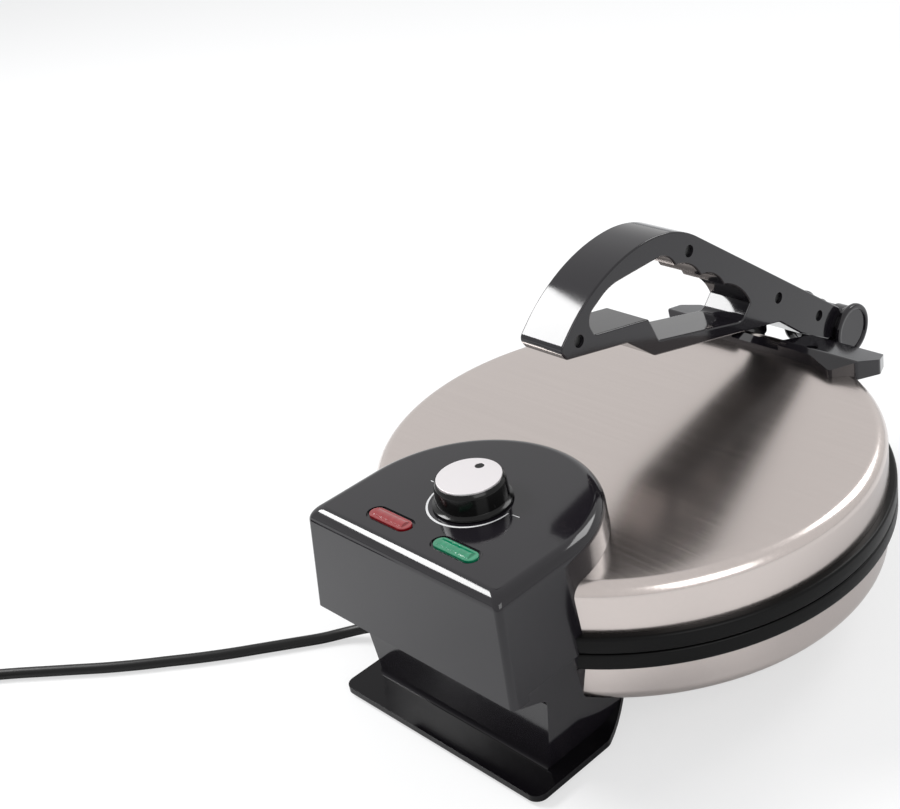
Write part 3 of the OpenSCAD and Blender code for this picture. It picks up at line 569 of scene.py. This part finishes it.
# Operators
class ROTI_OT_stage(bpy.types.Operator):
    """Camera at the photograph's angle, soft lamps and a white floor"""

    bl_idname = "roti.stage"
    bl_label = "Stage"

    def execute(self, context):
        scene = context.scene
        deselect()
        bpy.ops.object.camera_add(
            location=(0.47733, -0.50106, 0.49385),
            rotation=tuple(math.radians(a) for a in (62.1715, 7.4918, 44.2777)))
        camera = context.object
        camera.data.sensor_width = 36
        camera.data.lens = 60.8
        camera.data.shift_x = -0.09209
        camera.data.shift_y = -0.0323
        camera.data.clip_start = 0.01
        scene.camera = camera
        scene.view_settings.view_transform = "Standard"

        self.world(scene)
        self.floor()
        self.lamp("key", (-1.13, -0.53, 1.26), 0.8, 0.5, 28)
        self.lamp("fill", (1.4, -0.5, 1.0), 1.0, 1.0, 10)
        self.lamp("back", (0.3, 1.4, 1.3), 0.8, 0.8, 12)
        return {"FINISHED"}

    def lamp(self, name, place, width, height, power):
        """A rectangular lamp that shines on the middle of the object."""
        deselect()
        bpy.ops.object.light_add(type="AREA", location=place)
        lamp = bpy.context.object
        lamp.name = name
        lamp.data.shape = "RECTANGLE"
        lamp.data.size = width
        lamp.data.size_y = height
        lamp.data.energy = power
        aim = Vector((0, 0, 0.06)) - Vector(place)
        lamp.rotation_euler = aim.to_track_quat("-Z", "Y").to_euler()

    def world(self, scene):
        """White to the camera, softer to glossy rays and dimmer to all others."""
        world = bpy.data.worlds.new("studio")
        scene.world = world
        world.use_nodes = True
        tree = world.node_tree
        seen = tree.nodes.new("ShaderNodeLightPath")
        plain = tree.nodes["Background"]
        plain.inputs["Color"].default_value = (0.9, 0.92, 0.95, 1)
        plain.inputs["Strength"].default_value = 0.5
        white = tree.nodes.new("ShaderNodeBackground")
        white.inputs["Strength"].default_value = 1
        mirror = tree.nodes.new("ShaderNodeBackground")
        mirror.inputs["Color"].default_value = (1, 1, 1, 1)
        mirror.inputs["Strength"].default_value = 0.95
        first = tree.nodes.new("ShaderNodeMixShader")
        second = tree.nodes.new("ShaderNodeMixShader")
        tree.links.new(seen.outputs["Is Glossy Ray"], first.inputs[0])
        tree.links.new(plain.outputs[0], first.inputs[1])
        tree.links.new(mirror.outputs[0], first.inputs[2])
        tree.links.new(seen.outputs["Is Camera Ray"], second.inputs[0])
        tree.links.new(first.outputs[0], second.inputs[1])
        tree.links.new(white.outputs[0], second.inputs[2])
        tree.links.new(second.outputs[0], tree.nodes["World Output"].inputs[0])

    def floor(self):
        """A plain floor that looks nearly white to the camera."""
        deselect()
        bpy.ops.mesh.primitive_plane_add(size=8, location=(0, 0, -0.0003))
        floor = bpy.context.object
        floor.name = "floor"
        r = Recipe("floor")
        r.finish(Base_Color=(0.86, 0.86, 0.86), Roughness=0.8)
        r.set(r.shader.inputs["Specular IOR Level"], 0.1)
        seen = r.node("ShaderNodeLightPath", {}, {}, "Is Camera Ray")
        glow = r.node("ShaderNodeEmission", {}, {"Color": (1, 1, 1), "Strength": 1.0})
        both = r.node("ShaderNodeMixShader", {}, {
            0: seen * 0.6, 1: Wire(r, r.shader.outputs[0]), 2: glow})
        r.set(r.tree.nodes["Material Output"].inputs[0], both)
        floor.data.materials.append(r.material)


class ROTI_OT_cord(bpy.types.Operator):
    """Strain relief, mains cord with its stored coil, and plug"""

    bl_idname = "roti.cord"
    bl_label = "Cord and plug"

    route = [
        (-78, -117.5, 11), (-86, -116.5, 10), (-95, -119.5, 7.2), (-104, -126, 4.5),
        (-113, -136, 3), (-123, -148, 3), (-134, -161, 3), (-145, -174, 3), (-157, -187, 3),
        (-169, -199, 3), (-181, -211, 3), (-194, -223, 3), (-207, -234, 3), (-220, -245, 3),
        (-233, -256, 3), (-245, -267, 3), (-256, -279, 3), (-266, -291, 3), (-275, -303, 3)]
    diameter = 6
    turns = 4
    mean = 5.5 * 6
    step = 6.6

    def path(self):
        """The route's points, then two layers of turns, in millimetres."""
        route = [Vector(p) for p in self.route]
        way = (route[-1] - route[-2]).normalized()
        start = math.degrees(math.atan2(way.y, way.x)) - 90
        inner = self.mean - self.step * self.turns / 4
        last, middle = 360 * self.turns, 180 * self.turns

        def radius(a):
            """How far out the coil is after that angle."""
            return inner + self.step * abs(a - middle) / 360

        def climb(a):
            """How high it is, as it rises to the second layer."""
            t = min(1, max(0, (a - middle + 90) / 180))
            return self.step * (1 - math.cos(math.pi * t)) / 2

        begin = route[-1] + way * self.diameter
        face = Vector((math.cos(math.radians(start)), math.sin(math.radians(start)), 0))
        axis = begin - radius(0) * face
        coil = []
        for i in range(last // 5 + 1):
            a = i * 5
            t = math.radians(start + a)
            reach = radius(a)
            coil.append(axis + Vector((reach * math.cos(t), reach * math.sin(t), climb(a))))
        t = math.radians(start + last)
        leave = Vector((-math.sin(t), math.cos(t), 0))
        return route, coil, coil[-1] + leave * 30, leave

    def smooth(self, points, n=6):
        """Points on one smooth curve through the given ones."""
        out = []
        for i in range(len(points) - 1):
            a = points[max(i - 1, 0)]
            b, c = points[i], points[i + 1]
            d = points[min(i + 2, len(points) - 1)]
            for k in range(n):
                t = k / n
                out.append(0.5 * (
                    2 * b + (c - a) * t + (2 * a - 5 * b + 4 * c - d) * t * t
                    + (3 * b - a - 3 * c + d) * t ** 3))
        return out + [points[-1]]

    def execute(self, context):
        route, coil, end, leave = self.path()
        lead = [route[0], route[0] + Vector((-4, 0, 0))] + route[1:]
        points = self.smooth(lead) + coil + [end]
        spline_points = [(p.x * MM, (p.y + LID_Y) * MM, p.z * MM) for p in points]
        curve = bpy.data.curves.new("mains_cord", "CURVE")
        curve.dimensions = "3D"
        curve.bevel_depth = self.diameter / 2 * MM
        curve.bevel_resolution = 5
        curve.use_fill_caps = True
        spline = curve.splines.new("POLY")
        spline.points.add(len(spline_points) - 1)
        for target, p in zip(spline.points, spline_points):
            target.co = (*p, 1)
        cord = bpy.data.objects.new("mains_cord", curve)
        context.scene.collection.objects.link(cord)
        dress(cord, "base", "cord", "cord_black", "power_cord", "cord_coil")

        plug = refine(
            "plug", "plug_body", 0.0012, 3, lambda m, e: True, "base", "cord", "cord_black", 25)
        paint("plug_pins", "nickel")
        self.relief()
        return {"FINISHED"}

    def relief(self):
        """The ribbed sleeve in the leg's wall, from which the cord comes."""
        neck = -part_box("strain_relief")[1][0] / MM
        wall = 60.9
        profile = [(-neck, 0), (-neck, 3.6), (-wall, 3.6), (-wall - 0.2, 4.7), (-wall - 1.4, 5)]
        tip = 78
        ribs = 6
        for i in range(ribs):
            a = wall + 2 + (tip - wall - 2) * i / ribs
            b = wall + 2 + (tip - wall - 2) * (i + 1) / ribs
            r = 4.7 - 1.2 * i / ribs
            profile += [(-a, r - 0.7), (-a - 0.5, r), (-b + 0.9, r - 0.15), (-b + 0.4, r - 0.8)]
        profile += [(-tip, 3.2), (-tip, 0)]
        relief = turned_along_x("relief", profile, RELIEF)
        dress(relief, "base", "cord", "cord_black", "strain_relief")


class ROTI_OT_steel(bpy.types.Operator):
    """The lid's and base's brushed steel shells"""

    bl_idname = "roti.steel"
    bl_label = "Steel shells"

    def execute(self, context):
        crown = [(125 * t, 97 + 1.5 * (1 - t * t)) for t in (0, 0.2, 0.4, 0.6, 0.8, 0.92)]
        outer = crown + arc(125, 90, 7, 90, 0) + [(132, 69)]
        inner = [(130.8, 69)] + arc(125, 90, 5.8, 0, 90)
        inner += [(r, z - 1.2) for r, z in reversed(crown)]
        lid = turned("lid_steel", outer + inner, closed=False)
        dress(lid, "lid", "steel", "brushed_steel", "lid_shell")
        outer = [(0, 30), (60, 30)] + arc(123, 38, 8, -90, 0) + [(131, 57)]
        inner = [(129.8, 57)] + arc(123, 38, 6.8, 0, -90) + [(60, 31.2), (0, 31.2)]
        base = turned("base_steel", outer + inner, closed=False)
        dress(base, "base", "steel", "brushed_steel", "base_pan")
        return {"FINISHED"}


class ROTI_OT_bands(bpy.types.Operator):
    """The two black bands where lid and base meet"""

    bl_idname = "roti.bands"
    bl_label = "Bands"

    def execute(self, context):
        upper = (
            [(132.05, 72)] + arc(134.4, 70.4, 1.6, 90, 0, 5) + arc(135, 64.3, 1, 0, -90, 4)
            + [(127.4, 63.3), (127.4, 67.2), (122, 67.2), (122, 68.7), (132.05, 68.7)])
        band = turned("upper_band", upper)
        dress(band, "lid", "band", "black_band", "lid_band")
        lower = (
            [(131.05, 54)] + arc(134.4, 55.6, 1.6, -90, 0, 5) + arc(135, 61.7, 1, 0, 90, 4)
            + [(127.4, 62.7), (127.4, 58.8), (122, 58.8), (122, 57.3), (131.05, 57.3)])
        band = turned("lower_band", lower)
        dress(band, "base", "band", "black_band", "base_band")
        return {"FINISHED"}


class ROTI_OT_plates(bpy.types.Operator):
    """Finishes of the cooking plates, heaters and what lies inside"""

    bl_idname = "roti.plates"
    bl_label = "Plates and inner parts"

    def execute(self, context):
        finishes = {
            "coating": ("lower_plate", "upper_plate"),
            "sheath": ("lower_heater", "upper_heater"),
            "sheet": ("lower_shield", "upper_shield"),
            "zinc": ("lower_nut", "upper_nut", "leg_screws", "pan_screws", "knob_shaft",
                     "hinge_pin", "lever_axle"),
            "dark_zinc": ("bracket_screws", "lever_screws"),
            "ivory": ("terminal_block", "thermal_fuse"),
            "tan": ("thermostat",),
            "lamp": ("neon_lamps",),
            "rubber": ("front_feet", "rear_feet"),
            "plastic": ("housing_cover",)}
        for finish, nodes in finishes.items():
            for node in nodes:
                paint(node, finish)
        return {"FINISHED"}


class ROTI_OT_housing(bpy.types.Operator):
    """The control housing with its lamp recesses, lamps and printed dial"""

    bl_idname = "roti.housing"
    bl_label = "Control housing"

    # Half its width, its front and where its round back starts, all at the top
    half = 66
    front = -156
    back = -113
    # How much wider it is at the seam, and the depth over which it widens
    flare = 3.5
    depth = 52.5
    # The seam, the skirt's lower edge below it, and where the skirt ends at the sides
    seam = 63.05
    skirt = 59.3
    skirt_back = -150
    wall = 2.5

    def execute(self, context):
        edge = context.scene.roti_edges.housing
        housing = self.block("housing", 0, self.skirt)
        round_edges(housing, edge, 10, lambda m, e: m.z > HOUSING_TOP - 0.1, 60)
        round_edges(
            housing, edge / 2, 6,
            lambda m, e: m.y < -148 and abs(m.x) > 58 and self.mitre(e), 10)
        shaft = turned(
            "shaft_cutter", [(0, 105), (4.5, 105), (4.5, 120), (0, 120)], KNOB, steps=48)
        cut(housing, [
            self.hollow(), self.lid_cutter(), *self.seam_cutters(), shaft, *self.lamp_cutters()])
        dress(
            flatten_normals(done(housing, 30)), "lid", "plastic", "gloss_black",
            "control_housing")
        self.lens(-LAMP_X, "red_lens", "red")
        self.lens(LAMP_X, "green_lens", "green")
        self.dial()
        return {"FINISHED"}

    def mitre(self, edge):
        """An edge between a face that looks forward and one that looks sideways."""
        turns = [abs(f.normal.x) - abs(f.normal.y) for f in edge.link_faces]
        return min(turns) < -0.02 and max(turns) > 0.02

    def block(self, name, inset, low):
        """The housing's outside: flat in front, half round behind, wider at its foot."""
        half = self.half - inset
        front = self.front + inset
        high = HOUSING_TOP - inset
        plan = [(-half, front), (half, front)]
        plan += [(x, y + self.back) for x, y in arc(0, 0, half, 0, 180, 72)]
        piece = plate(name, plan, low, high)
        grow = self.flare * (high - low) / self.depth
        edit(piece, "VERT")
        mesh = bmesh.from_edit_mesh(piece.data)
        for v in mesh.verts:
            if v.co.z < (low + 1) * MM:
                x, y = self.widened(v.co.x / MM, v.co.y / MM - LID_Y, grow)
                v.co.x, v.co.y = x * MM, (y + LID_Y) * MM
        bmesh.update_edit_mesh(piece.data)
        bpy.ops.object.mode_set(mode="OBJECT")
        return piece

    def widened(self, x, y, grow):
        """A point of the plan, moved out from the back's centre, the side or the front."""
        if y > self.back:
            scale = 1 + grow / math.hypot(x, y - self.back)
            return x * scale, self.back + (y - self.back) * scale
        return math.copysign(abs(x) + grow, x), y - (grow if y < self.skirt_back else 0)

    def lens(self, x, node, finish):
        """A lamp's flat tinted pill with a faceted bar along its middle."""
        pane = plate(node + "_bar", self.pill(x, 27, 8), 112.5, 115.95)
        round_edges(pane, 0.0005, 3, lambda m, e: m.z > 115.9)
        foot = 115.6
        facets = [
            (-3, foot), (-2.2, 116.3), (-0.9, 116.75), (0.9, 116.75), (2.2, 116.3), (3, foot)]
        bar = slab("facets", [(LAMP_Y + y, z) for y, z in facets], x - 11, x + 11)
        for v in bar.data.vertices:
            v.co.x -= math.copysign((v.co.z / MM - foot) * 0.9 * MM, v.co.x - x * MM)
        take(pane)
        bar.select_set(True)
        bpy.ops.object.join()
        dress(flatten_normals(done(pane, 20)), "lid", finish, node, node)

    def hollow(self):
        """The room inside the housing, in front of the lid."""
        hollow = self.block("hollow", self.wall, 55)
        cut(hollow, [turned("lid_room", [
            (0, CUTTER_LOW), (138.6, CUTTER_LOW), (138.6, 74.6), (134.6, 74.6), (134.6, 92),
            (131.5, 97.5), (125, 101.2), (0, 102.2)])])
        return hollow

    def lid_cutter(self):
        """The lid's outside and its band's, a hair larger."""
        crown = [(125 * t, 97.1 + 1.5 * (1 - t * t)) for t in (0, 0.3, 0.6, 0.8, 1)]
        return turned("lid_cutter", crown + arc(125, 90, 7.1, 85, 0, 10) + [
            (132.1, 72.1), (136.1, 72.1), (136.1, CUTTER_LOW), (0, CUTTER_LOW)])

    def seam_cutters(self):
        """All below the seam but a thin skirt in front and round the corners."""
        inside = rounded([
            (x, y, 5.2 if y < self.skirt_back else 0) for x, y in oblong(68.3, -158.4, -20)])
        return [
            plate("seam_cutter", inside, CUTTER_LOW, self.seam),
            plate("side_cutter", oblong(90, self.skirt_back, 0), CUTTER_LOW, self.seam)]

    def lamp_cutters(self):
        """Each lamp's shallow recess and the slot through its floor."""
        return [
            plate("lamp_cutter", self.pill(side * LAMP_X, long, wide), low, high)
            for side in (-1, 1)
            for long, wide, low, high in ((30, 11, 114.5, 117), (27.1, 8.1, 110, 118))]

    def pill(self, x, long, wide):
        """A lamp's outline with half-round ends."""
        far, r = (long - wide) / 2, wide / 2
        ends = arc(far, 0, r, -90, 90, 16) + arc(-far, 0, r, 90, 270, 16)
        return [(x + a, LAMP_Y + b) for a, b in ends]

    def dial(self):
        """The printed arc round the knob and the ticks at its ends."""
        radius = 21.6
        count = 40
        inner, outer = [], []
        for i in range(count + 1):
            t = i / count
            a = 194 + 170 * t
            width = 0.6 + 0.5 * math.sin(math.pi * min(1, 0.2 + 0.8 * t))
            inner.append(self.dial_point(a, radius))
            outer.append(self.dial_point(a, radius + width))
        self.stroke("dial_arc", outer + inner[::-1])
        for n, (a, near, far) in enumerate(((178, 29, 31), (4, 24.6, 28.8))):
            corners = [(near, -0.25), (far, -0.25), (far, 0.25), (near, 0.25)]
            self.stroke(f"dial_tick_{n + 1}", [self.dial_point(a, x, y) for x, y in corners])

    def dial_point(self, angle, out, side=0):
        """A point so far out from the knob's axis, and so far to the side of that line."""
        c, s = math.cos(math.radians(angle)), math.sin(math.radians(angle))
        return KNOB[0] + out * c - side * s, KNOB[1] + out * s + side * c

    def stroke(self, name, outline):
        """A printed shape, a hair above the housing's top."""
        print_piece = plate(name, outline, HOUSING_TOP - 0.06, HOUSING_TOP + 0.06)
        dress(done(print_piece), "lid", "print", "knob_silver")


class ROTI_OT_knob(bpy.types.Operator):
    """The knob with its flange and its spun disc"""

    bl_idname = "roti.knob"
    bl_label = "Knob"

    def execute(self, context):
        profile = [
            (3.05, 115.8), (19, 115.8), (19.5, 116.2), (19.4, 116.9), (18.4, 117.5),
            (17.8, 118.2), (17.3, 126.2), (17, 127.6), (16.2, 128.5), (3.05, 128.5)]
        body = turned("knob_grip", profile, KNOB, steps=128)
        dress(body, "knob", "knob", "knob_black", "knob_body")
        refine(
            "knob_disc", "knob_cap", 0.0003, 2, lambda m, e: m.z > 129.3, "knob", "silver",
            "knob_silver")
        spot = math.radians(104)
        dot = turned(
            "knob_dot", [(0, 129.05), (2.25, 129.05), (2.25, 129.2), (0, 129.2)],
            (9.5 * math.cos(spot), KNOB[1] + 9.5 * math.sin(spot)), closed=False, steps=32)
        dress(dot, "knob", "knob", "knob_black")
        return {"FINISHED"}


class ROTI_OT_legs(bpy.types.Operator):
    """The front leg, its foot plate and the rear leg"""

    bl_idname = "roti.legs"
    bl_label = "Legs"

    # The front leg from the side: its chin, web and foot, then its bend along the foot plate
    profile = (
        [(-157.2, 62.95, 0), (-157.2, 58.3, 3.5), (-138, 50, 6), (-137, 8.5, 0), (-138.5, 5.5, 0)]
        + [(y, z, 0) for y, z in arc(-104.5, 30, 24.5, -90, -2, 8)]
        + [(0, 42, 0), (0, 62.95, 0)])

    def execute(self, context):
        width = context.scene.roti_edges.legs
        front = slab("front_boot", rounded(self.profile), -1, 1)
        for v in front.data.vertices:
            v.co.x = math.copysign(self.half(v.co.z / MM), v.co.x) * MM
        cut(front, [
            self.pan_cutter(), self.rim_cutter(), drill("relief_cutter", RELIEF, 3.7, -80, -40),
            plate("pocket", oblong(47, -133.5, -103.5), 4, 27)])
        round_edges(
            front, width * 2, 5, lambda m, e: m.y < -100 and 6 < m.z < 58 and abs(m.x) > 50)
        dress(flatten_normals(done(front)), "base", "plastic", "gloss_black", "front_leg")
        refine(
            "foot", "foot_plate", width, 3, lambda m, e: m.y < -80, "base", "foot",
            "gloss_black")
        refine(
            "rear_boot", "rear_leg", width, 3,
            lambda m, e: m.z < 46 and m.y > 90 and abs(m.x) > 12, "base", "plastic",
            "gloss_black")
        return {"FINISHED"}

    def half(self, z):
        """Half the front leg's width at a height."""
        return 59.2 + 0.158 * z

    def pan_cutter(self):
        """The base's outside and its band's, a hair larger."""
        return turned("pan_cutter", [(0, 29.9), (123, 29.9)] + arc(123, 38, 8.1, -90, 0) + [
            (131.1, 53.9), (136.1, 53.9), (136.1, 70), (0, 70)])

    def rim_cutter(self):
        """Sets the chin's top in, behind the housing's skirt."""
        ring = plate("rim_cutter", oblong(90, -175, -149.6), 58.8, 70)
        inner = rounded([(x, y, 4.8 if y < -150 else 0) for x, y in oblong(67.9, -158, -100)])
        cut(ring, [plate("rim_core", inner, 50, 80)])
        return ring


class ROTI_OT_bracket(bpy.types.Operator):
    """The lid bracket and the pressing link"""

    bl_idname = "roti.bracket"
    bl_label = "Bracket and link"

    def execute(self, context):
        refine(
            "bracket", "lid_bracket", 0.0008, 3, lambda m, e: m.z > 84, "lid", "plastic",
            "gloss_black")
        refine(
            "link_arm", "press_link", 0.0006, 3, lambda m, e: abs(m.x) > 5, "link", "plastic",
            "gloss_black")
        return {"FINISHED"}


class ROTI_OT_lever(bpy.types.Operator):
    """The lever's two moulded halves and the round caps on its axle"""

    bl_idname = "roti.lever"
    bl_label = "Lever"

    thick = 14
    # The arm's back, the grip's two arcs, then the nose and the stepped lower edge
    outside = (
        [(172, 99.5, 0)] + [(y, z, 0) for y, z in arc(17, 143, 60, 52.3, 90, 14)]
        + [(y, z, 0) for y, z in arc(17, 112, 91, 92, 134, 14)]
        + [(-51.2, 172.6, 4), (-47.5, 166.5, 3), (-5, 156.5, 3), (13.5, 141, 6), (116, 114.8, 8),
           (135, 99, 10), (160, 84.5, 0)])
    loop = [
        (84, 129.5, 6), (17.5, 148, 3), (11.5, 162.5, 3), (-27, 171, 3), (-31.5, 181, 7),
        (-13.5, 190.8, 28)]
    # Where the finger recesses meet
    cusps = [(20, 191), (35, 182), (53.5, 169), (71, 156.5), (91.5, 137)]
    screws = [(-38, 172.5), (46, 185.5), (116, 129.5), (152, 103)]

    def execute(self, context):
        self.half(-1, "lever_left_half", "lever_left")
        self.half(1, "lever_right_half", "lever_right")
        self.caps()
        return {"FINISHED"}

    def half(self, side, name, node):
        """One moulded half, with screw holes if it is the right one."""
        outline = rounded(self.outside) + arc(*AXLE, 13, -182, 110, 60)
        inner = self.loop + [p for a, b in zip(self.cusps, self.cusps[1:]) for p in bulge(a, b, 3)]
        inner = rounded(inner + [(*self.cusps[-1], 0)])
        rim = side * self.thick
        half = slab(name, outline, min(0, rim), max(0, rim))
        cutters = [
            slab("loop_cutter", inner, -20, 20), drill("slot_cutter", AXLE, 28, -6.3, 6.3, 96),
            drill("axle_cutter", AXLE, 4.05, -20, 20)]
        if side > 0:
            cutters += [drill("screw_cutter", p, 3.2, 10, 20, 32) for p in self.screws]
        cut(half, cutters)
        edit(half, "VERT")
        weld()
        bpy.ops.object.mode_set(mode="OBJECT")
        round_edges(
            half, bpy.context.scene.roti_edges.lever, 5,
            lambda m, e: abs(m.x - rim) < 0.05 and not self.by_hole(m) and self.far(m))
        round_edges(
            half, 0.00035, 2, lambda m, e: abs(m.x) < 0.01 and self.far(m) and self.below(m))
        round_edges(
            half, 0.0004, 2, lambda m, e: abs(m.x - self.thick) < 0.05 and self.by_hole(m))
        dress(flatten_normals(done(half)), "lever", "plastic", "gloss_black", node)

    def by_hole(self, m):
        """On the rim of a screw hole."""
        return any((m.y - y) ** 2 + (m.z - z) ** 2 < 4 ** 2 for y, z in self.screws)

    def below(self, m):
        """Not on the arch's outer side, where the halves meet without a groove."""
        return m.z < 172 and m.z + 0.77 * m.y < 222

    def far(self, m):
        """Away from the axle's bore."""
        return (m.y - AXLE[0]) ** 2 + (m.z - AXLE[1]) ** 2 > 6 ** 2

    def caps(self):
        """Round caps on the axle's ends, each a disc sunk in a rim."""
        inner = self.thick + 0.1
        profile = [
            (3.2, 0), (3.2, 4.05), (0, 4.05), (0, 13.2), (1.6, 13.5), (2.4, 15.1), (3, 15.5),
            (4.3, 15.5), (5.1, 15.1), (5.5, 14.3), (5.5, 12.9), (5.2, 12.4), (4.4, 12.1), (4.3, 0)]
        for side, name, nodes in ((1, "cap_right", ["axle_caps"]), (-1, "cap_left", [])):
            cap = turned_along_x(name, [(side * (inner + a), r) for a, r in profile], AXLE)
            dress(cap, "lever", "plastic", "gloss_black", *nodes)


# Panel
class ROTI_PT_panel(bpy.types.Panel):
    """The sidebar's settings and buttons"""
    bl_idname = "ROTI_PT_panel"
    bl_label = "Roti Maker"
    bl_space_type = "VIEW_3D"
    bl_region_type = "UI"
    bl_category = "Roti Maker"

    def draw(self, context):
        for settings in (context.scene.roti_finish, context.scene.roti_edges):
            for key in settings.__annotations__:
                self.layout.prop(settings, key)
        for operator in OPERATORS:
            self.layout.operator(operator.bl_idname)


OPERATORS = (
    ROTI_OT_stage, ROTI_OT_cord, ROTI_OT_steel, ROTI_OT_bands, ROTI_OT_plates, ROTI_OT_housing,
    ROTI_OT_knob, ROTI_OT_legs, ROTI_OT_bracket, ROTI_OT_lever)


def register():
    """Adds the settings, operators and panel to Blender."""
    for item in (FinishSettings, EdgeSettings, *OPERATORS, ROTI_PT_panel):
        bpy.utils.register_class(item)
    bpy.types.Scene.roti_finish = PointerProperty(type=FinishSettings)
    bpy.types.Scene.roti_edges = PointerProperty(type=EdgeSettings)


def unregister():
    """Takes them out again."""
    del bpy.types.Scene.roti_edges
    del bpy.types.Scene.roti_finish
    for item in (ROTI_PT_panel, *reversed(OPERATORS), EdgeSettings, FinishSettings):
        bpy.utils.unregister_class(item)


def main():
    """Builds every piece."""
    register()
    mix_materials(bpy.context.scene.roti_finish)
    for operator in OPERATORS:
        kind, name = operator.bl_idname.split(".")
        getattr(getattr(bpy.ops, kind), name)()


if __name__ == "__main__":
    main()
